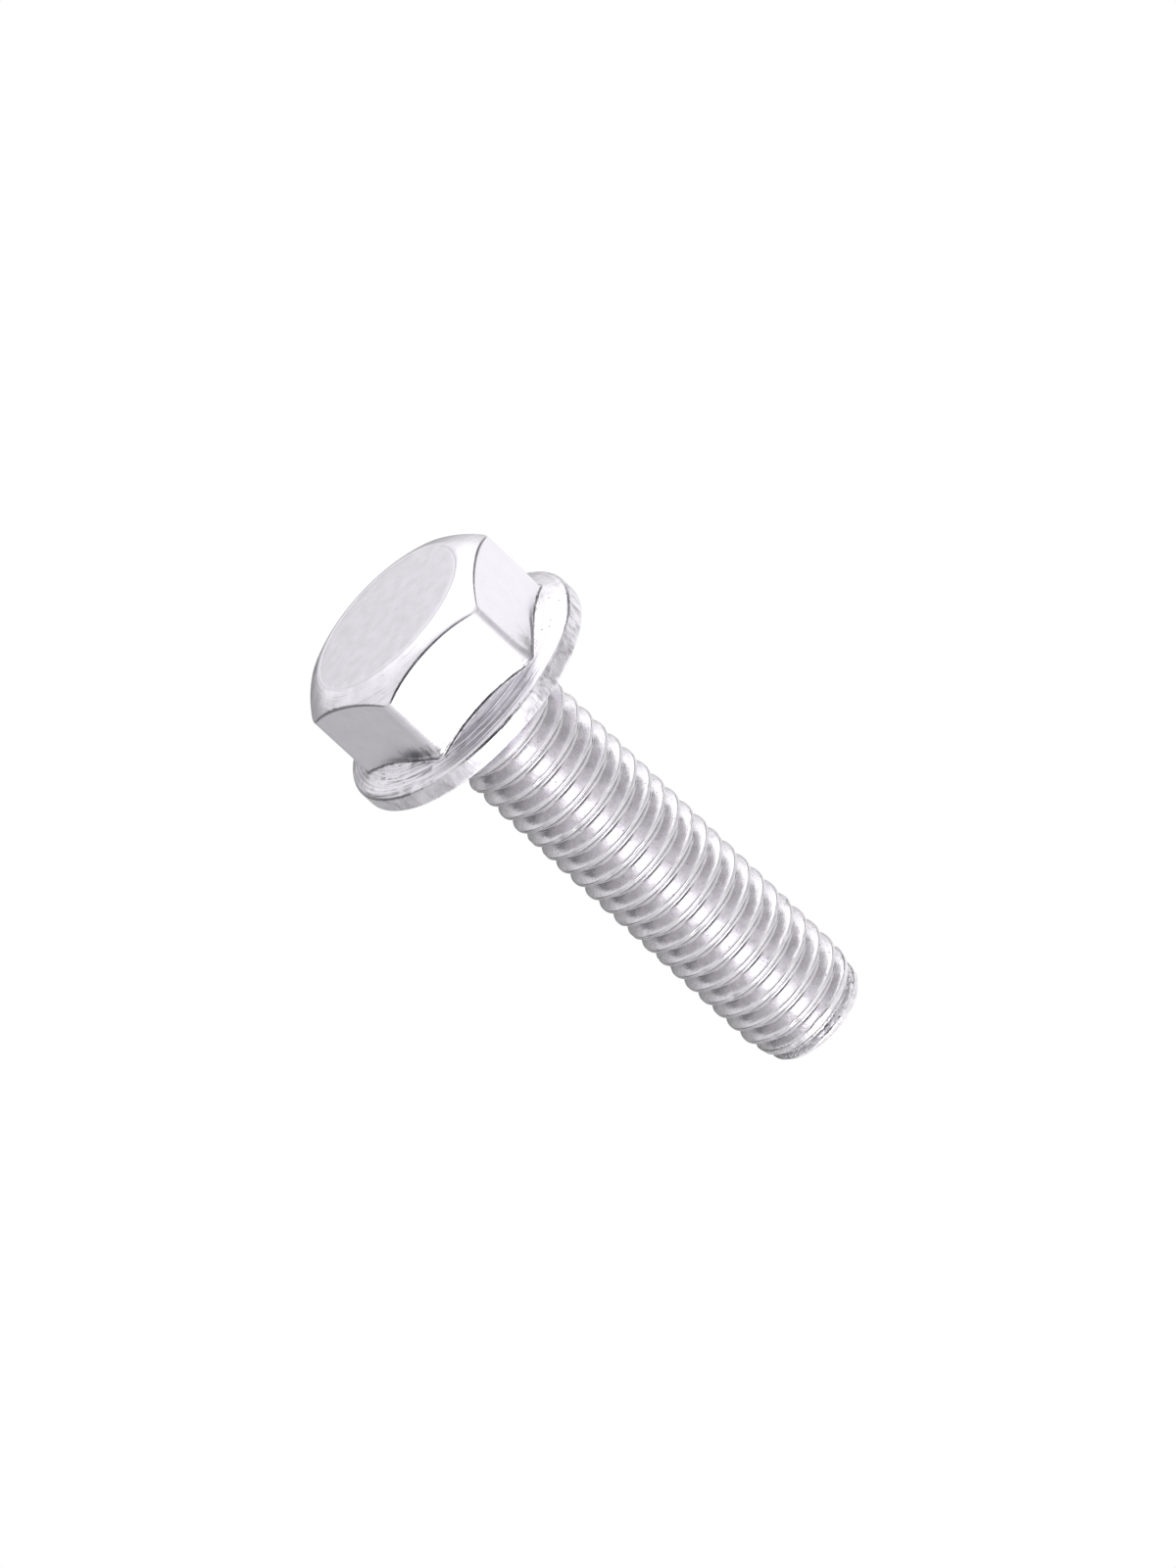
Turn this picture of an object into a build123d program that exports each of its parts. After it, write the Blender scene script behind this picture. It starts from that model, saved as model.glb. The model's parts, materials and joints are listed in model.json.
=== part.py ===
from build123d import *
import math
import os

# Hexagon flange bolt, M8 x 1.25 x 30. Head, flange and shank are forged as one piece of steel
# and the thread is rolled into it, so the whole bolt is one solid. Lengths are in millimetres
# and angles in degrees. The bolt stands on the flat top of its head at Z = 0 and its shank
# rises along +Z: the bearing face looks up and the thread's end is the highest point.

# Hexagon
across_flats = 12.75  # wrench size 13, within its tolerance
hex_corner_radius = 0.8  # forged rounding of the six upright edges
head_height = 7.3  # from the flat top to the bearing face
top_flat_d = 10.85  # flat land in the middle of the top
crown_angle = 19.5  # fall of the crown where it leaves that land
crown_radius = 5.6  # its rounding from there out to the corners
crown_blend = 0.8  # soft edge between land and crown

# Flange
flange_d = 16.8
slope_angle = 22.0  # rise of the flange's conical side from its rim towards the hexagon
rim_height = 1.2  # upright band between that slope and the bearing face
rim_top_radius = 0.3
rim_bottom_radius = 0.3
foot_radius = 0.28  # hollow fillet all round the hexagon's foot, where it meets the slope

# Shank
shank_length = 30.0  # from the bearing face to the end
neck_radius = 0.4  # fillet between the bearing face and the neck
neck_length = 1.39  # plain blank under the head, before the thread rises out of it
run_in_length = 0.75  # over which the thread grows from the neck to its full depth

# Thread, right-hand
thread_d = 7.8  # over the crests
thread_pitch = 1.25
thread_pitch_d = 7.1  # where tooth and gap are equally wide; the blank has this diameter
thread_root_d = 6.4
flank_angle = 30.0  # each flank, from the plane across the axis
taper_length = 2.2  # over which the crests shrink towards the end
taper_d = 7.0  # crest diameter where that taper stops
end_face_d = 6.5
end_chamfer = 0.3  # its length along the axis
stretch_turns = 5  # turns swept at a time

overlap = 0.12  # how far a shape runs into the one that it joins or cuts

corner_r = (across_flats / 2 - hex_corner_radius) / math.cos(math.pi / 6) + hex_corner_radius
bearing_z = head_height
thread_z = bearing_z + neck_length
end_z = bearing_z + shank_length


def outside_cone(low, high):
    """Ring to cut with: all outside the cone, or cylinder, through two (radius, height) points."""
    slope = (high[0] - low[0]) / (high[1] - low[1])
    reach = thread_pitch / 2
    outer = max(low[0], high[0]) + thread_pitch
    outline = Polyline(
        (low[0] - reach * slope, low[1] - reach),
        (high[0] + reach * slope, high[1] + reach),
        (outer, high[1] + reach),
        (outer, low[1] - reach),
        close=True,
    )
    return revolve(Plane.XZ * make_face(outline), Axis.Z)


def crown():
    """What the top of the head is cut to: flat land, soft edge, then a rounding past the corners."""
    lean = math.radians(crown_angle)
    middle_r = top_flat_d / 2 - crown_radius * math.sin(lean)
    middle_z = crown_radius * math.cos(lean)
    reach = corner_r + overlap
    end = math.asin((reach - middle_r) / crown_radius)
    fall = middle_z - crown_radius * math.cos(end)
    land = Line((0, 0), (top_flat_d / 2, 0))
    slope = RadiusArc(land @ 1, (reach, fall), -crown_radius)
    face = make_face([land, slope, Polyline((reach, fall), (reach, bearing_z), (0, bearing_z), (0, 0))])
    land_edge = face.vertices().sort_by_distance(land @ 1)[0]
    return revolve(Plane.XZ * fillet(land_edge, crown_blend), Axis.Z)


def hexagon():
    """The wrench hexagon, one flat towards -Y, sunk into the flange and crowned on top."""
    section = RegularPolygon(across_flats / 2, 6, major_radius=False)
    section = fillet(section.vertices(), hex_corner_radius)
    return extrude(section, bearing_z - rim_height / 2) & crown()


def flange_and_neck():
    """The round parts: slope, rim, bearing face, fillet, neck and the neck's run-out cone."""
    rim_top = (flange_d / 2, bearing_z - rim_height)
    slope_r = across_flats / 2 - overlap
    slope_z = rim_top[1] - (rim_top[0] - slope_r) * math.tan(math.radians(slope_angle))
    rim_bottom = (flange_d / 2, bearing_z)
    neck_foot = (thread_pitch_d / 2, bearing_z)
    neck_end = (thread_pitch_d / 2, thread_z)
    groove_fall = (thread_pitch_d - thread_root_d) / 2 / run_in_length
    run_out = (neck_end[0] - (run_in_length + overlap) * groove_fall, thread_z + run_in_length + overlap)
    face = make_face(
        Polyline(
            (0, slope_z),
            (slope_r, slope_z),
            rim_top,
            rim_bottom,
            neck_foot,
            neck_end,
            run_out,
            (0, run_out[1]),
            close=True,
        )
    )
    for corner, radius in (
        (rim_top, rim_top_radius),
        (rim_bottom, rim_bottom_radius),
        (neck_foot, neck_radius),
    ):
        face = fillet(face.vertices().sort_by_distance(corner)[0], radius)
    return revolve(Plane.XZ * face, Axis.Z)


def head():
    """Hexagon, flange and neck in one, with the fillet round the hexagon's foot."""
    # At the hexagon's corners the slope is narrow. The fillet ends before the rim's rounding.
    slope = math.radians(slope_angle)
    reach = math.tan((math.pi / 2 - slope) / 2)
    width = (flange_d / 2 - corner_r) / math.cos(slope) - rim_top_radius * reach
    radius = min(foot_radius, 0.9 * width / reach)

    upper = hexagon()
    lower = flange_and_neck()
    joined = upper + lower
    foot = new_edges(upper, lower, combined=joined)
    return fillet(foot, radius)


def thread():
    """Root cylinder with one helical tooth, cut off square and tapered at both ends."""
    root_r = thread_root_d / 2
    pitch_r = thread_pitch_d / 2
    crest_r = thread_d / 2
    start_z = thread_z - thread_pitch

    # The tooth is half a pitch thick at the pitch diameter and thins evenly outwards. It is
    # drawn from a little inside the core to a little above the crest.
    lean = math.tan(math.radians(flank_angle))
    foot_r = root_r - overlap
    foot = thread_pitch / 4 + (pitch_r - foot_r) * lean
    top_r = crest_r + overlap
    top = thread_pitch / 4 - (top_r - pitch_r) * lean
    tooth_outline = Polyline((foot_r, -foot), (top_r, -top), (top_r, top), (foot_r, foot), close=True)
    section_plane = Plane((0, 0, start_z), x_dir=(1, 0, 0), z_dir=(0, -1, 0))

    # It is swept a few turns at a time: each stretch starts where the last one stops, and the
    # core reaches past both ends of the row.
    stretch_length = stretch_turns * thread_pitch
    stretches = math.ceil((end_z - start_z + thread_pitch / 2) / stretch_length)
    helix = Helix(thread_pitch, stretch_length, pitch_r, center=(0, 0, start_z))
    stretch = sweep(section_plane * make_face(tooth_outline), path=helix, is_frenet=True)
    core_length = stretches * stretch_length + 2 * thread_pitch
    rod = Pos(0, 0, start_z - thread_pitch + core_length / 2) * Cylinder(root_r, core_length)
    for i in range(stretches):
        rod = rod + Pos(0, 0, i * stretch_length) * stretch

    # Cut off square and turned down to the crest diameter, the crests then grow out of the neck
    # and shrink towards the end face.
    trim_z = thread_z - overlap
    rod = rod & (Pos(0, 0, (trim_z + end_z) / 2) * Cylinder(2 * crest_r, end_z - trim_z))
    chamfer_z = end_z - end_chamfer
    for low, high in (
        ((crest_r, thread_z), (crest_r, end_z)),
        ((pitch_r, thread_z), (crest_r, thread_z + run_in_length)),
        ((crest_r, end_z - taper_length), (taper_d / 2, chamfer_z)),
        ((taper_d / 2, chamfer_z), (end_face_d / 2, end_z)),
    ):
        rod = rod - outside_cone(low, high)
    return rod


flange_bolt = head() + thread()

os.makedirs("parts", exist_ok=True)
export_step(flange_bolt, "parts/flange_bolt.step")
print("solids", len(flange_bolt.solids()), "volume in mm3", round(flange_bolt.volume, 1))
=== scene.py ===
# %% [markdown]
# # A hexagon flange bolt
# This bolt is one piece of steel. A machine upsets the end of a rod into a head with its own
# washer, the flange, and two dies then roll a thread into the rod. Last it gets a thin bright
# coat of zinc. The lesson builds what the eye meets on such a bolt: soft forged corners, fine
# marks from the tools, and a thread whose edges are a little rounded and here and there nicked.
#
# It stands on the flat top of its head, with the thread pointing up. Lengths below are in
# millimetres, because that is how a bolt is drawn, and each mesh is scaled to metres when it is
# made.

# %% The measured frame
import json
import math
import random

import bpy
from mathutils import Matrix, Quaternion, Vector


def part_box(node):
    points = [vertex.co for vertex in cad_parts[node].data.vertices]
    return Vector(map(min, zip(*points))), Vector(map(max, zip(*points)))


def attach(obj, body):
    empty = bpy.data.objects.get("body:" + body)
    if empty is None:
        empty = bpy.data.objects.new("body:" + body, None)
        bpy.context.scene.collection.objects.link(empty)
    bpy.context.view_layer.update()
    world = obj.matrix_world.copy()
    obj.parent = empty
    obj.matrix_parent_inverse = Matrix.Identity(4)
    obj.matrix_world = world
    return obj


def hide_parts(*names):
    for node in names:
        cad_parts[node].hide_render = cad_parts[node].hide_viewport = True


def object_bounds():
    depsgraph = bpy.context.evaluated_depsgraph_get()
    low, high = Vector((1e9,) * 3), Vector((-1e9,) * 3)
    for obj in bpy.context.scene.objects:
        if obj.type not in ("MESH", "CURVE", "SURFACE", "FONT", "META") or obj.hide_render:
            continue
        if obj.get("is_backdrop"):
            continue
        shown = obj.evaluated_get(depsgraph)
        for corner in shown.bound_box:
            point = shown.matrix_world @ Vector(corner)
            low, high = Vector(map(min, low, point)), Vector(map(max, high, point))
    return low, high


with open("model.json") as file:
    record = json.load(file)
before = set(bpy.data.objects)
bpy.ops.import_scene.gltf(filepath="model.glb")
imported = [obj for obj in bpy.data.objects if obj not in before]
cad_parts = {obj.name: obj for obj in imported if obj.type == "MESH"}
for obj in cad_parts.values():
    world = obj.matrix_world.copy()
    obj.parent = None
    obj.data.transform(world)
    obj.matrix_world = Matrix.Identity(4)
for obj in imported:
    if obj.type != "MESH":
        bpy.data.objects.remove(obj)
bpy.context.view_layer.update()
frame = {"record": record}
MM = 0.001

low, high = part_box("flange_bolt")
mounts = {mount["name"]: mount for mount in frame["record"]["mounts"]}
flange_r = (high.x - low.x) / 2 / MM
end_z = high.z / MM
bearing_z = mounts["bearing_face"]["pos_m"][2] / MM
crest_r = mounts["thread"]["dims"]["r_mm"]
print("flange", round(2 * flange_r, 2), "mm across, bolt", round(end_z, 2), "mm long")
print("bearing face at", round(bearing_z, 2), "mm, thread", 2 * crest_r, "mm over the crests")

# %% [markdown]
# ## Rounding a drawn outline
# Nothing forged has a sharp corner: the steel never quite fills the corner of the die. A corner
# could be softened later with a Bevel modifier, but a bevel gives every edge the same look. Here
# each corner of the drawn outline gets its own radius, as on a workshop drawing.
#
# `round_corner` replaces one corner of an outline by an arc that touches both of its sides.

# %% A rounded corner
def round_corner(before, corner, after, radius, steps):
    """Points of the arc with that radius which touches both sides of the corner."""
    a = (Vector(before) - Vector(corner)).normalized()
    b = (Vector(after) - Vector(corner)).normalized()
    half = a.angle(b) / 2
    middle = Vector(corner) + (a + b).normalized() * (radius / math.sin(half))
    start = Vector(corner) + a * (radius / math.tan(half)) - middle
    end = Vector(corner) + b * (radius / math.tan(half)) - middle
    sweep = start.angle_signed(end)
    points = []
    for i in range(steps + 1):
        turn = -sweep * i / steps
        c, s = math.cos(turn), math.sin(turn)
        points.append((middle.x + start.x * c - start.y * s, middle.y + start.x * s + start.y * c))
    return points


def straight(a, b, steps):
    """Points between a and b, without its two ends."""
    step = range(1, steps)
    return [(a[0] + (b[0] - a[0]) * i / steps, a[1] + (b[1] - a[1]) * i / steps) for i in step]


square_corner = round_corner((0, 5), (0, 0), (5, 0), 1, 2)
print("a square corner of radius 1:", [tuple(round(v, 2) for v in p) for p in square_corner])

# %% [markdown]
# ## The hexagon seen from its end
# The head is round in one place and six-sided in another, so it is drawn as a half outline that
# changes while it goes round the axis. What changes is the distance from the axis to the
# hexagon. Along a flat that is the well-known `a / cos(angle)`. Near a corner it follows the
# small arc that the forging die leaves there.

# %% The hexagon's distance from the axis
across_flats = 12.75
hex_corner_radius = 0.8


def hexagon_r(azimuth):
    """Distance from the axis to the rounded hexagon. One flat faces azimuth -90 degrees."""
    sector = math.radians(60)
    off_flat = abs((azimuth + math.radians(90) + sector / 2) % sector - sector / 2)
    half = across_flats / 2
    to_arc = (half - hex_corner_radius) / math.cos(sector / 2)
    off_corner = sector / 2 - off_flat
    flat_ends = math.atan2((half - hex_corner_radius) * math.tan(sector / 2), half)
    if off_flat <= flat_ends:
        return half / math.cos(off_flat)
    side = to_arc * math.sin(off_corner)
    return to_arc * math.cos(off_corner) + math.sqrt(hex_corner_radius**2 - side**2)


corner_r = hexagon_r(math.radians(-60))
print("across the rounded corners:", round(2 * corner_r, 2), "mm")

# %% [markdown]
# ## Crown and slope
# The punch that shapes the head leaves a flat land in the middle of the top, with a shallow
# groove where the land ends. Outside it a crown falls away in a rounding, which is why the flats
# end in curved lines. The top of the flange is a plain cone. Both surfaces could be cut with
# Boolean modifiers, but a formula for their height gives clean rows of points and no scars.

# %% Heights of crown and slope
land_r = 10.85 / 2
land_flat_r = 5.1  # the land is quite flat out to its groove
land_groove = [(land_flat_r, 0.0), (5.15, 0.006), (5.19, 0.016), (5.23, 0.006), (5.27, 0.0)]
crown_angle = math.radians(19.5)
crown_radius = 5.6
slope_angle = math.radians(22)
rim_top = (flange_r, bearing_z - 1.2)


def crown_z(r):
    """Height of the rounded crown at that distance from the axis."""
    middle_r = land_r - crown_radius * math.sin(crown_angle)
    return crown_radius * math.cos(crown_angle) - math.sqrt(crown_radius**2 - (r - middle_r) ** 2)


def slope_z(r):
    """Height of the flange's conical slope there."""
    return rim_top[1] - (rim_top[0] - r) * math.tan(slope_angle)


print("the crown falls", round(crown_z(corner_r), 2), "mm out to the corners")
print("the flats end", round(slope_z(across_flats / 2), 2), "mm below the top")

# %% [markdown]
# ## A foot that swells
# Steel that is squeezed flows a little farther in some places than in others. On this head the
# foot of the hexagon swells softly beside two of its corners. Sculpting could do it, but a
# formula keeps the swelling smooth: a bell curve round the axis that fades with the height above
# the foot.

# %% The swellings
foot_swellings = [(-48, 14, 0.36), (-132, 16, 0.28)]  # azimuth, half width in degrees, amount
swelling_fade = 0.65  # about a third of it is left that far above the foot


def flare(azimuth, above_foot):
    """How far the hexagon's foot swells out there, that far above it."""
    swell = 0.0
    for middle, half_width, amount in foot_swellings:
        off = (math.degrees(azimuth) - middle + 180) % 360 - 180
        swell += amount * math.exp(-((off / half_width) ** 2))
    return swell * math.exp(-above_foot / swelling_fade)


for middle, half_width, amount in foot_swellings:
    print("swelling at", middle, "degrees:", round(flare(math.radians(middle), 0), 2), "mm")

# %% [markdown]
# ## The head's outline at one azimuth
# From the middle of the top outwards and then down: the flat land, the crown that falls away
# from it, one side of the hexagon, the hollow at its foot, the slope of the flange, its rim, the
# bearing face that clamps, and the neck. Each stretch remembers which zone it belongs to, so that
# every zone can get the marks of the tool that made it.

# %% The head's outline
crown_blend = 0.8
crown_edge = 0.3
foot_radius = 0.28
foot_steps = 8
rim_top_radius = 0.3
rim_bottom_radius = 0.22
neck_r = 3.55
neck_radius = 0.4
thread_z = bearing_z + 1.39
start_r = 0.2  # the outline starts that far off the axis
nearby = 0.3  # how far off its ends the crown's direction is taken


def zone(name, *stretches):
    """Outline points of one zone, each with the zone's name."""
    return [(r, z, name) for stretch in stretches for r, z in stretch]


def head_outline(azimuth):
    """The head's half section there, as (distance from the axis, height, zone)."""
    side = hexagon_r(azimuth)
    land_end = (land_r, 0)
    off_land = (land_r + nearby, crown_z(land_r + nearby))
    near_side = (side - nearby, crown_z(side - nearby))
    crown_end = (side, crown_z(side))
    slope_start = (side, slope_z(side))
    rim_bottom = (flange_r, bearing_z)
    neck_foot = (neck_r, bearing_z)
    neck_end = (neck_r, thread_z)

    blend = round_corner((0, 0), land_end, off_land, crown_blend, 10)
    edge = round_corner(near_side, crown_end, slope_start, crown_edge, 10)
    hollow = round_corner(crown_end, slope_start, rim_top, foot_radius, foot_steps)
    upper = round_corner(slope_start, rim_top, rim_bottom, rim_top_radius, 10)
    lower = round_corner(rim_top, rim_bottom, neck_foot, rim_bottom_radius, 7)
    foot = round_corner(rim_bottom, neck_foot, neck_end, neck_radius, 7)

    land = [(start_r, 0)] + straight((start_r, 0), (land_flat_r, 0), 11) + land_groove
    reach = [blend[-1][0] + (edge[0][0] - blend[-1][0]) * i / 9 for i in range(1, 9)]
    crown = [(r, crown_z(r)) for r in reach]
    foot_z = hollow[0][1]
    flat = [(r + flare(azimuth, foot_z - z), z) for r, z in straight(edge[-1], hollow[0], 22)]
    fading = [1 - k / foot_steps for k in range(foot_steps + 1)]
    hollow = [(r + flare(azimuth, 0) * share, z) for share, (r, z) in zip(fading, hollow)]
    points = zone("land", land, blend[:6])
    points += zone("crown", blend[6:], crown, edge[:6])
    points += zone("flat", edge[6:], flat, hollow[:2])
    points += zone("foot", hollow[2:foot_steps])
    points += zone("slope", hollow[foot_steps:], straight(hollow[-1], upper[0], 12), upper[:6])
    points += zone("rim", upper[6:], straight(upper[-1], lower[0], 5), lower[:5])
    points += zone("bearing", lower[5:], straight(lower[-1], foot[0], 8), foot[:3])
    points += zone("neck", foot[3:], straight(foot[-1], neck_end, 3), [neck_end])
    return points


print(len(head_outline(0.0)), "points from the middle of the top to the neck")

# %% [markdown]
# ## Points, faces and materials
# Two meshes will be made from lists of points, so a helper does what both need. It also gives
# every face the material of its zone.

# %% A mesh from lists
def make_mesh(name, points, faces, zones, materials):
    """A smooth-shaded mesh from points in millimetres. zones holds one material name per face."""
    mesh = bpy.data.meshes.new(name)
    mesh.from_pydata([(x * MM, y * MM, z * MM) for x, y, z in points], [], faces)
    names = list(materials)
    for material in names:
        mesh.materials.append(materials[material])
    for polygon, zone_name in zip(mesh.polygons, zones):
        polygon.use_smooth = True
        polygon.material_index = names.index(zone_name)
    mesh.update()
    piece = bpy.data.objects.new(name, mesh)
    bpy.context.scene.collection.objects.link(piece)
    print(name, len(mesh.vertices), "points", sum(len(f) - 2 for f in faces), "triangles")
    return piece


def round_points(r, azimuths, z):
    """A ring of points at those azimuths, all equally far from the axis."""
    return [(r * math.cos(azimuth), r * math.sin(azimuth), z) for azimuth in azimuths]


quarter_turn = round_points(1, (0, math.pi / 2), 0)
print("a quarter turn apart:", [tuple(round(v, 1) for v in p) for p in quarter_turn])

# %% [markdown]
# ## Going round the axis
# The outlines are placed like the staves of a barrel, and neighbours are joined by faces. A
# Screw or Spin would turn one fixed outline and could make no hexagon. The corners of the
# hexagon are narrow, so more staves stand there than along the flats.

# %% The head
flat_half, corner_half = 26.8, 3.2  # degrees
flat_staves, corner_staves = 24, 12


def stave_azimuths():
    """Azimuths in radians, close together over the hexagon's corners."""
    angles = []
    for sector in range(6):
        middle = -90 + 60 * sector
        for i in range(flat_staves):
            angles.append(middle - flat_half + 2 * flat_half * i / flat_staves)
        for i in range(corner_staves):
            angles.append(middle + flat_half + 2 * corner_half * i / corner_staves)
    return [math.radians(a) for a in angles]


def build_head(materials):
    azimuths = stave_azimuths()
    outlines = [head_outline(a) for a in azimuths]
    rows = len(outlines[0])
    points, faces, zones = [], [], []
    for azimuth, outline in zip(azimuths, outlines):
        points += [(r * math.cos(azimuth), r * math.sin(azimuth), z) for r, z, name in outline]
    count = len(azimuths)
    for i in range(count):
        here, there = i * rows, (i + 1) % count * rows
        for k in range(rows - 1):
            faces.append((here + k, here + k + 1, there + k + 1, there + k))
            zones.append(outlines[0][k + 1][2])
    faces.append([i * rows for i in range(count)])
    zones.append("land")
    return make_mesh("head_and_flange", points, faces, zones, materials)


print(len(stave_azimuths()), "staves round the head")

# %% [markdown]
# ## The rolled thread
# A thread is one ridge that climbs by one pitch in each turn. It could be made with the Screw
# modifier, but then both ends would need cutting. Here the ridge's outline over one pitch is
# drawn once. Every column of points round the shank carries that outline, lifted by its share of
# the pitch, and the last column meets the first one a whole pitch higher.
#
# The dies press steel up from both sides. Where the two streams meet, in the middle of the
# crest, they leave a fine seam, which is why the crest looks like a double line.

# %% The outline of one pitch
pitch = 1.25
root_r = 3.2
flank_angle = math.radians(30)
crest_edge = 0.1
root_radius = 0.18
seam_depth = 0.05
seam_half = 0.05


def thread_outline():
    """(share of the pitch, distance from the axis) once over the ridge, crest in the middle."""
    lean = math.tan(flank_angle)
    crest_half = pitch / 4 - (crest_r - neck_r) * lean
    root_half = pitch / 4 + (neck_r - root_r) * lean
    root_flat = (0, root_r)
    foot = (pitch / 2 - root_half, root_r)
    shoulder = (pitch / 2 - crest_half, crest_r)
    top = (pitch / 2, crest_r)
    rise = round_corner(root_flat, foot, shoulder, root_radius, 4)
    turn = round_corner(foot, shoulder, top, crest_edge, 4)
    half = rise + straight(rise[-1], turn[0], 4) + turn
    half += [(pitch / 2 - seam_half, crest_r), (pitch / 2, crest_r - seam_depth)]
    mirrored = [(pitch - z, r) for z, r in reversed(half[:-1])]
    return [(z / pitch, r) for z, r in [root_flat] + half + mirrored]


ridge = thread_outline()
print(len(ridge), "points over one pitch of", pitch, "mm")

# %% [markdown]
# ## Both ends of the thread
# Two limits shape the ends. Under the head the ridge grows out of the plain neck, and near the
# tip the crests shrink, because the rod was pointed before it was rolled. A point that would
# stand above such a limit is simply pushed down to it, so no end needs a Boolean cut.

# %% Limits of the thread
taper_length = 2.2
taper_r = 3.5
end_r = 3.25
end_chamfer = 0.3
run_in = 0.75


def crest_limit(z):
    """How far out the thread may reach at that height."""
    growing = neck_r + (crest_r - neck_r) * min(1, max(0, (z - thread_z) / run_in))
    chamfer_z = end_z - end_chamfer
    share = min(1, max(0, (z - (end_z - taper_length)) / (taper_length - end_chamfer)))
    shrinking = crest_r + (taper_r - crest_r) * share
    if z > chamfer_z:
        shrinking = taper_r + (end_r - taper_r) * (z - chamfer_z) / end_chamfer
    return min(growing, shrinking)


def root_limit(z):
    """How deep the thread may cut at that height: its groove runs out into the neck."""
    return neck_r - (neck_r - root_r) * min(1, max(0, (z - thread_z) / run_in))


print("crests reach", round(crest_limit(end_z - 1), 2), "mm a millimetre before the end")

# %% [markdown]
# ## Nicks
# Bolts are shipped loose in boxes and knock against each other, so here and there a crest has a
# dent, and the tip has most of them. Sculpting each one would take long. A list of dents lowers
# the points near each, and a fixed random seed gives the same dents each time.

# %% Dents in the crests
nick_height = 0.2
nick_widths = (0.12, 0.3)
nick_depths = (0.03, 0.09)
nick_margin = 1.0  # none lies closer to the end
towards_tip = 1.8  # a power: the larger, the more of them crowd near the tip


def make_nicks(count, seed):
    """Dents as (azimuth, height, width, depth); more of them near the tip."""
    dice = random.Random(seed)
    nicks = []
    for i in range(count):
        turns_down = (end_z - nick_margin - thread_z) / pitch * dice.random() ** towards_tip
        azimuth = dice.uniform(-math.pi, math.pi)
        phase = azimuth / (2 * math.pi)
        height = end_z - nick_margin - turns_down * pitch
        on_crest = thread_z + pitch * (round((height - thread_z) / pitch - phase) + phase)
        nicks.append((azimuth, on_crest, dice.uniform(*nick_widths), dice.uniform(*nick_depths)))
    return nicks


nicks = make_nicks(90, 8)


def dented(azimuth, z, r):
    """Distance from the axis after the nicks near that point have taken their share."""
    for at, height, width, depth in nicks:
        if abs(z - height) > 2 * nick_height:
            continue
        along = (azimuth - at + math.pi) % (2 * math.pi) - math.pi
        if abs(along) * r > 3 * width:
            continue
        closeness = math.exp(-((along * r / width) ** 2) - ((z - height) / nick_height) ** 2)
        r -= depth * closeness
    return r


print(len(nicks), "nicks, the deepest", round(max(nick[3] for nick in nicks), 3), "mm")

# %% [markdown]
# ## The skin of the shank
# Column after column the outline is laid up the shank. Where the row closes, the first column is
# joined to the last one with a shift of one pitch, and that shift is what makes rings into a
# helix. Faces that the limits have pressed flat against an end are left out.

# %% Columns of the shank
columns = 128
column_azimuths = [2 * math.pi * i / columns for i in range(columns)]


def shank_points():
    """Points of one column after the other, and how many points a column has."""
    per_pitch = len(ridge)
    first_z = thread_z - pitch / 2
    turns = math.ceil((end_z - first_z) / pitch) + 1
    rows = (turns + 1) * per_pitch
    points = []
    for i, azimuth in enumerate(column_azimuths):
        for j in range(rows):
            share, r = ridge[j % per_pitch]
            z = first_z - pitch + pitch * (j // per_pitch + share + i / columns)
            outside = z <= thread_z or z >= end_z
            z = min(end_z, max(thread_z, z))
            r = min(crest_limit(z), max(root_limit(z), r))
            if r > neck_r and not outside:
                r = dented(azimuth, z, r)
            points.append((r * math.cos(azimuth), r * math.sin(azimuth), z))
    return points, rows


def shank_faces(points, rows):
    faces = []
    for i in range(columns):
        for j in range(rows - 1):
            a, b = i * rows + j, i * rows + j + 1
            c, d = a + rows, b + rows
            if i + 1 == columns:
                c, d = j + len(ridge), j + 1 + len(ridge)
                if d >= rows:
                    continue
            corners = (a, c, d, b)
            if len({round(points[k][2], 6) for k in corners}) > 1:
                faces.append(corners)
    return faces


print(columns, "columns,", round(2 * math.pi * crest_r / columns, 2), "mm wide at the crests")

# %% [markdown]
# ## The end face
# The rod was sheared off, so its end is a plain flat face. Without it one would look into a
# hollow tube. Rings of points that shrink towards the axis keep its faces small near the rim.

# %% The whole shank
cap_rings = (1.0, 0.97, 0.9, 0.5, 0.05)  # shares of the end's radius


def build_shank(materials):
    points, rows = shank_points()
    faces = shank_faces(points, rows)
    zones = ["thread"] * len(faces)
    ring = len(points)
    for share in cap_rings:
        points += round_points(end_r * share, column_azimuths, end_z)
    for k in range(len(cap_rings) - 1):
        for i in range(columns):
            a, b = ring + k * columns + i, ring + k * columns + (i + 1) % columns
            faces.append((a, b, b + columns, a + columns))
            zones.append("end")
    last = ring + (len(cap_rings) - 1) * columns
    faces.append([last + i for i in range(columns)])
    zones.append("end")
    return make_mesh("threaded_shank", points, faces, zones, materials)


print("end face", 2 * end_r, "mm across, in", len(cap_rings), "rings")

# %% [markdown]
# ## Building shaders from a script
# Zinc plating is thin, so the marks of the tools show through it. The finishes are built from
# shader nodes, as in the Shader Editor. Two helpers keep that short: one adds a node with its
# settings and inputs, the other does one step of arithmetic.

# %% Helpers for nodes
def node(tree, kind, inputs=(), **settings):
    """A shader node with its settings and inputs; an input may be a value or another socket."""
    made = tree.nodes.new(kind)
    for name, value in settings.items():
        setattr(made, name, value)
    for name, value in dict(inputs).items():
        if isinstance(value, bpy.types.NodeSocket):
            tree.links.new(value, made.inputs[name])
        else:
            made.inputs[name].default_value = value
    return made


def calculate(tree, operation, a, b=0.0, c=0.0):
    """One step of arithmetic with sockets or numbers."""
    return node(tree, "ShaderNodeMath", {0: a, 1: b, 2: c}, operation=operation).outputs[0]


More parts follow.
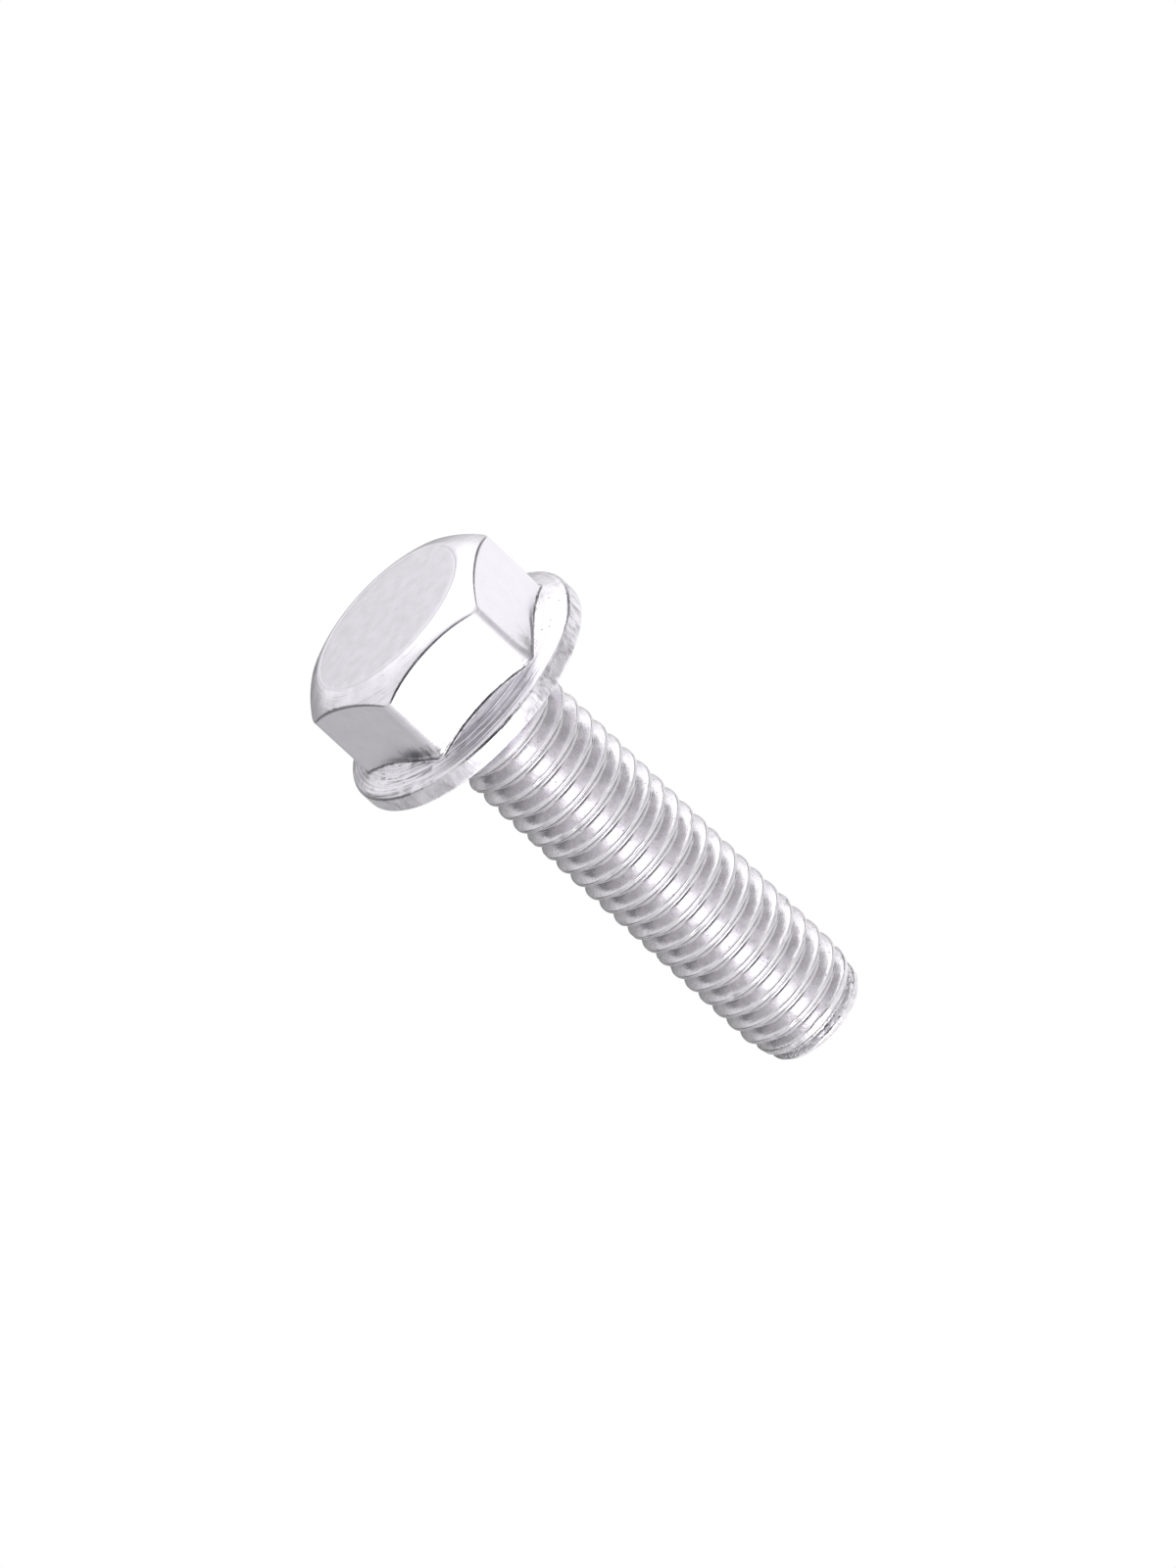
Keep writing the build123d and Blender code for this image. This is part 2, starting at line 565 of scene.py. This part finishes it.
def vector(tree, operation, a, b=None, scale=None, output=0):
    """One step of vector arithmetic."""
    inputs = {0: a}
    if b is not None:
        inputs[1] = b
    if scale is not None:
        inputs[3] = scale
    return node(tree, "ShaderNodeVectorMath", inputs, operation=operation).outputs[output]


def between(tree, value, start, end):
    """0 before the start and 1 past the end, with a soft passage. The start may be the larger."""
    swap = start > end
    limits = {"Value": value, "From Min": min(start, end), "From Max": max(start, end)}
    ends = {"To Min": 1.0, "To Max": 0.0} if swap else {"To Min": 0.0, "To Max": 1.0}
    made = node(tree, "ShaderNodeMapRange", limits | ends, interpolation_type="SMOOTHSTEP")
    return made.outputs[0]


def empty_material(name):
    material = bpy.data.materials.new(name)
    material.use_nodes = True
    material.node_tree.nodes.clear()
    return material, material.node_tree


def surface(tree, shader, kind="ShaderNodeOutputMaterial"):
    """End the tree: that shader is what is seen."""
    tree.links.new(shader.outputs[0], node(tree, kind).inputs["Surface"])


print("helpers: node, calculate, vector, between, empty_material, surface")

# %% [markdown]
# ## Noise that knows the way of the tool
# A tool leaves lines along its path: rings where the bolt turned, upright lines where the die
# slid. Noise becomes lines when it is fine in one direction and coarse in the other. An image
# texture could hold such marks too, but it would need an unwrapped surface. Here the noise is
# read at the point's own place on the bolt: across it, round it and along it.

# %% Streaks and patches
def place_in_mm(tree):
    """The point's own place on the bolt in millimetres, the same without its height, and its
    distance from the axis."""
    place = vector(tree, "SCALE", node(tree, "ShaderNodeTexCoord").outputs["Object"], scale=1 / MM)
    flat = vector(tree, "MULTIPLY", place, (1, 1, 0))
    return place, flat, vector(tree, "LENGTH", flat, output="Value")


def streaks(tree, along_r, along_turn, along_z):
    """Noise with its own fineness across the bolt, round it and along it."""
    place, flat, r = place_in_mm(tree)
    turn = vector(tree, "SCALE", vector(tree, "NORMALIZE", flat), scale=along_turn)
    rise = vector(tree, "MULTIPLY", place, (0, 0, along_z))
    where = vector(tree, "ADD", turn, rise)
    across = calculate(tree, "MULTIPLY", r, along_r)
    inputs = {"Vector": where, "W": across, "Scale": 1.0, "Detail": 3.0}
    return node(tree, "ShaderNodeTexNoise", inputs, noise_dimensions="4D").outputs[0]


def mottle(tree, fineness):
    """Noise that is equally fine in all directions, per millimetre."""
    inputs = {"Vector": place_in_mm(tree)[0], "Scale": fineness, "Detail": 3.0}
    return node(tree, "ShaderNodeTexNoise", inputs).outputs[0]


def pits(tree, fineness, size):
    """1 in small scattered pits, 0 elsewhere. The size is in millimetres."""
    cells = node(tree, "ShaderNodeTexVoronoi", {"Vector": place_in_mm(tree)[0], "Scale": fineness})
    return between(tree, cells.outputs["Distance"], size * fineness, size * fineness * 0.6)


print("patterns: streaks, mottle, pits")

# %% [markdown]
# ## Where marks lie
# Real marks are uneven: the crown is scratched on one side only, draw lines show on the corners and
# the last turns are worn. Painted shade is uneven too: it lies on one side of the crown, slope and
# rim, and low on two flats where their foot swells. A place is a function that gives 1 where a mark
# or painted shade is to show and 0 where it isn't. Painting a mask by hand would do the same, but
# it would again need an unwrapped surface.

# %% Places
def everywhere(tree):
    return 1.0


def in_patches(tree):
    """Marks come and go in patches of about two millimetres."""
    return between(tree, mottle(tree, 0.7), 0.42, 0.58)


def on_side(azimuth, near=0.5, full=0.95, patches=True):
    """Only on the side of the bolt that faces that azimuth. Near and full are cosines."""
    ahead = (math.cos(math.radians(azimuth)), math.sin(math.radians(azimuth)), 0)

    def share(tree):
        out = vector(tree, "NORMALIZE", place_in_mm(tree)[1])
        seen = between(tree, vector(tree, "DOT_PRODUCT", out, ahead, output="Value"), near, full)
        return calculate(tree, "MULTIPLY", seen, in_patches(tree)) if patches else seen

    return share


def height_in_mm(tree):
    return node(tree, "ShaderNodeSeparateXYZ", {0: place_in_mm(tree)[0]}).outputs["Z"]


def painted_shade_at_swelling(azimuth):
    """Low on one flat, where its foot swells most and painted shade darkens it."""

    def share(tree):
        low_down = between(tree, height_in_mm(tree), 3.9, 5.3)
        return calculate(tree, "MULTIPLY", low_down, on_side(azimuth, 0.955, 0.995, False)(tree))

    return share


def at_corners(tree):
    """Only on the hexagon's corners, which stand farther out than its flats."""
    return between(tree, place_in_mm(tree)[2], 6.85, 7.2)


def at_tip(tree):
    """Only on the thread's last turns, stronger towards the end."""
    return between(tree, height_in_mm(tree), end_z - 2.6, end_z - 0.6)


print("places: everywhere, in_patches, on_side, painted_shade_at_swelling, at_corners, at_tip")

# %% [markdown]
# ## Bright zinc over steel
# All zones share one kind of metal: fully metallic, a light grey with a trace of violet, and
# rather smooth. They differ in their marks, and a finish is put together from three kinds.
# Marks are heights in millimetres that are added up and go through one Bump node, which is enough
# for lines as fine as these. Darkenings take some of the light from the colour: on the thread they
# are stains, on the head they are painted shade, dark along the tool lines and on darker sides and
# hollows. Pits do both. A separate material for every mark could not be mixed so freely.

# %% The plated metal
zinc = (0.75, 0.73, 0.78)
rolled = (0.71, 0.693, 0.724)  # thread and neck are a little darker
broad_fineness, grain_fineness = 1.1, 5.0
rough_swing = 0.2  # roughness rises and falls by that share of it
pit_shade = 0.5
darkening_start, darkening_full = 0.44, 0.62  # where streaks begin and end turning dark


def plated(name, marks, roughness, grain=0.0, tone=0.06, metal=zinc, pit=None, stains_and_painted_shade=()):
    """Zinc over steel. Each mark is (depth in millimetres, fineness across, round, along, place)
    and each darkening is (share of light it takes, fineness across, round, along, place); on the
    thread these are stains, on the head painted shade. A pit is (fineness, size, depth)."""
    material, tree = empty_material(name)
    spread = {"Value": mottle(tree, broad_fineness), "From Min": 0.3, "From Max": 0.7}
    limits = {"To Min": roughness * (1 - rough_swing), "To Max": roughness * (1 + rough_swing)}
    rough = node(tree, "ShaderNodeMapRange", spread | limits)
    limits = {"To Min": 1 - tone, "To Max": 1 + tone}
    shade = node(tree, "ShaderNodeMapRange", spread | limits).outputs[0]

    def darken(mask, share):
        """The shade after the mask has taken that share of its light."""
        left = calculate(tree, "MULTIPLY_ADD", mask, -share, 1.0)
        return calculate(tree, "MULTIPLY", shade, left)

    height = calculate(tree, "MULTIPLY", mottle(tree, grain_fineness), grain)
    for depth, across, round_axis, along, where in marks:
        mark = calculate(tree, "MULTIPLY", streaks(tree, across, round_axis, along), where(tree))
        height = calculate(tree, "MULTIPLY_ADD", mark, depth, height)
    if pit:
        fineness, size, depth = pit
        hole = pits(tree, fineness, size)
        height = calculate(tree, "MULTIPLY_ADD", hole, -depth, height)
        shade = darken(hole, pit_shade)
    # Each darkening takes that share of the colour's light: on the thread a stain, on the head
    # painted shade.
    for share, across, round_axis, along, where in stains_and_painted_shade:
        dark = between(tree, streaks(tree, across, round_axis, along), darkening_start, darkening_full)
        shade = darken(calculate(tree, "MULTIPLY", dark, where(tree)), share)
    inputs = {
        "Base Color": vector(tree, "SCALE", metal, scale=shade),
        "Metallic": 1.0,
        "Roughness": rough.outputs[0],
        "Normal": node(tree, "ShaderNodeBump", {"Height": height, "Distance": MM}).outputs[0],
    }
    surface(tree, node(tree, "ShaderNodeBsdfPrincipled", inputs))
    return material


print("zinc", zinc, "and on rolled parts", rolled)

# %% [markdown]
# ## Finishes of the head
# The punch presses the land smooth. The crown and the slope are turned, so their lines run round
# the axis and are fine from the middle outwards. The flats and the corners show upright lines from
# the die, and the trimming die leaves upright lines on the rim too. The hollow at the foot is rough
# as forged. The darkened streaks of the head are painted shade: rings on one side of the crown, the
# hollow at the foot, two flats low down, the slope all round and more on two sides, and the rim.

# %% Head finishes
head_finish = {
    "land": plated(
        "pressed_land", [(0.001, 0.6, 1.5, 0.1, everywhere)], roughness=0.30, grain=0.001, tone=0.02
    ),
    "crown": plated(
        "turned_crown",
        [(0.008, 6.0, 0.6, 0.1, everywhere), (0.02, 12.0, 0.2, 0.1, on_side(-48))],
        roughness=0.24,
        grain=0.003,
        # Painted shade: dark rings along the turning lines on the scratched side.
        stains_and_painted_shade=[(0.2, 14.0, 0.25, 0.1, on_side(-48))],
    ),
    "flat": plated(
        "drawn_flat",
        [(0.002, 0.3, 9.0, 0.5, everywhere), (0.02, 0.1, 3.0, 9.0, at_corners)],
        roughness=0.24,
        grain=0.002,
        tone=0.03,
        # Painted shade: two flats darken low down beside the swelling of their foot, in upright
        # streaks.
        stains_and_painted_shade=[
            (0.55, 1.0, 30.0, 1.5, painted_shade_at_swelling(-49)),
            (0.4, 1.0, 8.0, 0.8, painted_shade_at_swelling(-133)),
        ],
    ),
    "foot": plated(
        "forged_foot",
        [(0.03, 6.0, 10.0, 6.0, everywhere)],
        roughness=0.22,
        grain=0.01,
        pit=(3.0, 0.05, 0.03),
        # Painted shade: the hollow is darkened in streaks all round.
        stains_and_painted_shade=[(0.4, 7.0, 9.0, 3.0, everywhere)],
    ),
    "slope": plated(
        "turned_slope",
        [(0.03, 9.0, 1.2, 0.1, everywhere), (0.02, 7.0, 3.0, 0.1, in_patches)],
        roughness=0.24,
        grain=0.004,
        pit=(1.5, 0.055, 0.03),
        # Painted shade: dark rings along the turning lines all round, stronger on the side facing
        # -Y and on the side at -40 degrees.
        stains_and_painted_shade=[
            (0.45, 8.0, 1.0, 0.1, on_side(-88, 0.8, 0.95, False)),
            (0.12, 8.0, 1.0, 0.1, everywhere),
            (0.6, 10.0, 3.0, 0.1, on_side(-40)),
        ],
    ),
    "rim": plated(
        "trimmed_rim",
        [(0.02, 0.2, 40.0, 0.4, everywhere), (0.04, 0.2, 24.0, 2.0, in_patches)],
        roughness=0.24,
        grain=0.006,
        # Painted shade: dark upright lines all round and in patches, stronger on the side at -140
        # degrees.
        stains_and_painted_shade=[
            (0.18, 0.2, 14.0, 1.0, in_patches),
            (0.14, 0.2, 16.0, 1.6, everywhere),
            (0.4, 0.2, 22.0, 1.2, on_side(-140)),
        ],
    ),
    "bearing": plated("turned_bearing_face", [(0.010, 7.0, 1.0, 0.1, everywhere)], roughness=0.28),
    "neck": plated(
        "rolled_neck", [(0.006, 0.4, 2.0, 3.0, everywhere)], roughness=0.26, metal=rolled
    ),
}
print("head:", ", ".join(head_finish))

# %% [markdown]
# ## Finishes of the shank
# Rolling leaves the thread almost as bright as the dies, with small pits, and its last turns are
# rough. The end face is torn by the shears, so it is the dullest part.

# %% Shank finishes
shank_finish = {
    "thread": plated(
        "rolled_thread",
        [(0.010, 9.0, 3.0, 0.6, everywhere), (0.10, 3.0, 9.0, 3.0, at_tip)],
        roughness=0.25,
        grain=0.012,
        tone=0.05,
        metal=rolled,
        pit=(1.6, 0.05, 0.03),
        stains_and_painted_shade=[(0.06, 3.0, 9.0, 1.0, everywhere), (0.2, 3.0, 9.0, 4.0, at_tip)],
    ),
    "end": plated(
        "sheared_end",
        [(0.010, 0.5, 2.0, 0.1, everywhere)],
        roughness=0.34,
        grain=0.02,
        metal=rolled,
    ),
}
print("shank:", ", ".join(shank_finish))

# %% [markdown]
# ## Putting the bolt together
# Both meshes ride on the one rigid body and stand in for the measured solid. The Weighted Normal
# modifier lets big faces decide the shading: the flats stay truly flat although they run into
# small rounded edges.

# %% The bolt
head = build_head(head_finish)
weigh = head.modifiers.new("big faces decide", "WEIGHTED_NORMAL")
weigh.weight = 100
shank = build_shank(shank_finish)
for piece in (head, shank):
    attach(piece, "root")
    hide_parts("flange_bolt")

# %% [markdown]
# ## Floor
# The floor keeps the bolt's shadow when it is looked at from above. A plain white plane would
# hide the bolt from a camera below it, so its material is clear from that side. Only the
# camera sees it, because the light tent further on gives the metal all that it mirrors.

# %% Floor
bolt_middle = Vector((0, 0, end_z / 2 * MM))
floor_white = (0.98, 0.98, 0.98, 1)
floor_half, floor_z = 1.5, -0.00002  # metres


def stage_mesh(name, points, faces, material):
    """A mesh of the stage, from points in metres."""
    mesh = bpy.data.meshes.new(name)
    mesh.from_pydata(points, [], faces)
    mesh.materials.append(material)
    made = bpy.data.objects.new(name, mesh)
    bpy.context.scene.collection.objects.link(made)
    made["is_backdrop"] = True
    return made


pale, tree = empty_material("pale_floor")
path = node(tree, "ShaderNodeLightPath")
facing = node(tree, "ShaderNodeNewGeometry")
shown = calculate(tree, "SUBTRACT", path.outputs["Is Camera Ray"], facing.outputs["Backfacing"])
white = node(tree, "ShaderNodeBsdfDiffuse", {"Color": floor_white})
clear = node(tree, "ShaderNodeBsdfTransparent")
mixed = {0: shown, 1: clear.outputs[0], 2: white.outputs[0]}
surface(tree, node(tree, "ShaderNodeMixShader", mixed))
square = ((-1, -1), (1, -1), (1, 1), (-1, 1))
corners = [(x * floor_half, y * floor_half, floor_z) for x, y in square]
stage_mesh("floor", corners, [(0, 1, 2, 3)], pale)
print("floor", 2 * floor_half, "m across")

# %% [markdown]
# ## A white surrounding
# The background is plain white to the camera and in reflections. Each light path asks the Light
# Path node what it is, so the floor can get a little less light from it than the camera sees,
# and the lamps' shadow still shows.

# %% World
world_light, world_seen = 0.85, 1.0
world = bpy.data.worlds.new("white studio")
bpy.context.scene.world = world
world.use_nodes = True
tree = world.node_tree
tree.nodes.clear()
path = node(tree, "ShaderNodeLightPath")
seen = calculate(tree, "MAXIMUM", path.outputs["Is Camera Ray"], path.outputs["Is Glossy Ray"])
seen = calculate(tree, "MAXIMUM", seen, path.outputs["Is Transmission Ray"])
limits = {"Value": seen, "To Min": world_light, "To Max": world_seen}
strength = node(tree, "ShaderNodeMapRange", limits).outputs[0]
backdrop = node(tree, "ShaderNodeBackground", {"Color": (1, 1, 1, 1), "Strength": strength})
surface(tree, backdrop, "ShaderNodeOutputWorld")
print("world strength", world_seen, "as seen and", world_light, "as light")

# %% [markdown]
# ## A light tent
# Shiny metal shows its surroundings more than itself, so lighting it means arranging what it
# can see. Studios put shiny goods in a tent of white cloth. Where a lamp shines on the cloth it
# is brighter than white, where it hangs in shade it is greyer, and a dark gap gives a rounded
# edge its dark line. Real lamps and cards round the bolt could do this, but every one would also
# light the floor. Here the tent is a ball that only reflections see. Its cloth starts as one even
# grey, and each panel blends a new shade into a part of it.

# %% A panel of the tent
squareness = 3.0  # 2 gives an oval panel and more makes its corners fuller


def panel(tree, cloth, way, turn, lift, width, height, shade, softness=0.35):
    """Blend a shade into the cloth. Angles in degrees: turn is counted from the front (-Y)
    towards +X and lift from the horizon up."""
    t, e = math.radians(turn), math.radians(lift)
    ahead = Vector((math.sin(t) * math.cos(e), -math.cos(t) * math.cos(e), math.sin(e)))
    side = Vector((math.cos(t), math.sin(t), 0))
    over = ahead.cross(side)
    half_w, half_h = math.sin(math.radians(width / 2)), math.sin(math.radians(height / 2))

    def along(direction, scale):
        return vector(tree, "DOT_PRODUCT", way, tuple(direction / scale), output="Value")

    def raised(value, power):
        return calculate(tree, "POWER", value, power)

    across = raised(calculate(tree, "ABSOLUTE", along(side, half_w)), squareness)
    upwards = raised(calculate(tree, "ABSOLUTE", along(over, half_h)), squareness)
    off_middle = raised(calculate(tree, "ADD", across, upwards), 1 / squareness)
    inside = between(tree, off_middle, 1 + softness, 1 - softness)
    in_front = calculate(tree, "GREATER_THAN", along(ahead, 1.0), 0.0)
    share = calculate(tree, "MULTIPLY", inside, in_front)
    change = calculate(tree, "SUBTRACT", shade, cloth)
    return calculate(tree, "MULTIPLY_ADD", change, share, cloth)


print("a panel's edge is soft; its shade 1 is white")

# %% [markdown]
# ## What the metal sees
# The land mirrors what is below, each flat mirrors one side, and every turn of the thread
# mirrors a whole strip from low to high. So a panel high in front makes the long highlight on
# the shank, the darkest one low in front draws the edges, and grey ones at the sides model the
# flats.

# %% The shades
even_grey = 0.9
panels = (
    # turn, lift, width, height, shade
    (0, -90, 120, 120, 1.03),
    (0, 90, 100, 100, 1.25),
    (140, 18, 120, 60, 0.56),
    (135, -6, 100, 34, 0.24),
    (180, -26, 70, 30, 0.8),
    (-114, 30, 76, 50, 1.23),
    (92, 24, 44, 50, 0.72),
    (-72, 14, 50, 30, 0.66),
    (0, 16, 64, 26, 1.6),
    (13, 40, 35, 52, 3.3),
    (-132, -50, 64, 62, 1.65),
    (-118, -15, 50, 24, 0.2),
    (116, -10, 60, 34, 0.2),
    (161, -30, 16, 26, 1.15),
    (150, -12, 34, 20, 0.45),
    (13, -24, 54, 52, 0.04),
)
cloth, tree = empty_material("tent_cloth")
way = vector(tree, "NORMALIZE", node(tree, "ShaderNodeTexCoord").outputs["Object"])
shade = even_grey
for turn, lift, width, height, level in panels:
    shade = panel(tree, shade, way, turn, lift, width, height, level)
surface(tree, node(tree, "ShaderNodeEmission", {"Color": (1, 1, 1, 1), "Strength": shade}))
cloth.cycles.emission_sampling = "NONE"
print(len(panels), "panels, from shade", min(p[4] for p in panels), "to", max(p[4] for p in panels))

# %% [markdown]
# ## The ball
# Only its shader matters, so a coarse ball will do. It is turned off for all but reflections.

# %% The tent
tent_r = 0.3  # metres
rings, parts = 24, 48
points = [(0, 0, -tent_r)]
for k in range(1, rings):
    rise = math.pi * k / rings
    ring_azimuths = [2 * math.pi * i / parts for i in range(parts)]
    points += round_points(tent_r * math.sin(rise), ring_azimuths, -tent_r * math.cos(rise))
points.append((0, 0, tent_r))
faces = [(0, 1 + (i + 1) % parts, 1 + i) for i in range(parts)]
for k in range(rings - 2):
    for i in range(parts):
        a, b = 1 + k * parts + i, 1 + k * parts + (i + 1) % parts
        faces.append((a, b, b + parts, a + parts))
top = len(points) - 1
faces += [(top, top - parts + i, top - parts + (i + 1) % parts) for i in range(parts)]
tent = stage_mesh("light_tent", points, faces, cloth)
tent.location = bolt_middle
tent.visible_camera = False
tent.visible_diffuse = False
tent.visible_transmission = False
tent.visible_shadow = False
print("tent", 2 * tent_r, "m across with", len(faces), "faces")

# %% [markdown]
# ## Lamps
# Two soft lamps light the floor and draw the bolt's shadow on it. A sun lamp would draw it too
# sharp. They are hidden from reflections, because the tent's panels stand for them there.

# %% Lamps
def softbox(name, direction, distance, width, height, brightness):
    """A soft lamp that faces the bolt. Brightness 1 looks as bright as white paper."""
    lamp = bpy.data.lights.new(name, "AREA")
    lamp.shape = "RECTANGLE"
    lamp.size, lamp.size_y = width * MM, height * MM
    lamp.energy = brightness * math.pi * lamp.size * lamp.size_y
    made = bpy.data.objects.new(name, lamp)
    bpy.context.scene.collection.objects.link(made)
    way = Vector(direction).normalized()
    made.location = bolt_middle + way * distance * MM
    made.rotation_mode = "QUATERNION"
    made.rotation_quaternion = way.to_track_quat("Z", "Y")
    made.visible_glossy = False
    print(name, round(lamp.energy, 3), "W")


softbox("key lamp", (0.2, -0.75, 0.64), 280, 260, 200, 1.6)
softbox("top lamp", (-0.5, 0.4, 0.8), 280, 200, 200, 1.0)

# %% [markdown]
# ## The camera
# A long lens from some distance keeps the bolt's sides nearly parallel. It looks up from below
# the level of the floor, so the top of the head shows, and it is rolled so that the bolt lies
# aslant in the picture. Turning the bolt instead would take it out of its own frame.

# %% The camera
aim = Vector((-0.83, 0, 16.26)) * MM
distance = 383.5 * MM
azimuth = math.radians(0.502)
elevation = math.radians(-24.376)
roll = math.radians(-132.97)
sideways = math.sin(azimuth) * math.cos(elevation)
forwards = -math.cos(azimuth) * math.cos(elevation)
back = Vector((sideways, forwards, math.sin(elevation)))
lens = bpy.data.cameras.new("camera")
lens.sensor_width = 36
lens.lens = 152.44
lens.clip_start, lens.clip_end = 0.01, 10
camera = bpy.data.objects.new("camera", lens)
bpy.context.scene.collection.objects.link(camera)
camera.location = aim + back * distance
camera.rotation_mode = "QUATERNION"
level = (-back).to_track_quat("-Z", "Y")
camera.rotation_quaternion = level @ Quaternion((0, 0, 1), -roll)
bpy.context.scene.camera = camera
print("camera", round(distance, 3), "m away with a lens of", round(lens.lens), "mm")

bpy.context.scene.view_settings.view_transform = "Standard"

# %% [markdown]
# ## Sizes, and the end
# The last cell measures the visual model.

# %% Sizes, and the end
low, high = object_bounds()
print("visual model", [round(v / MM, 2) for v in high - low], "mm")
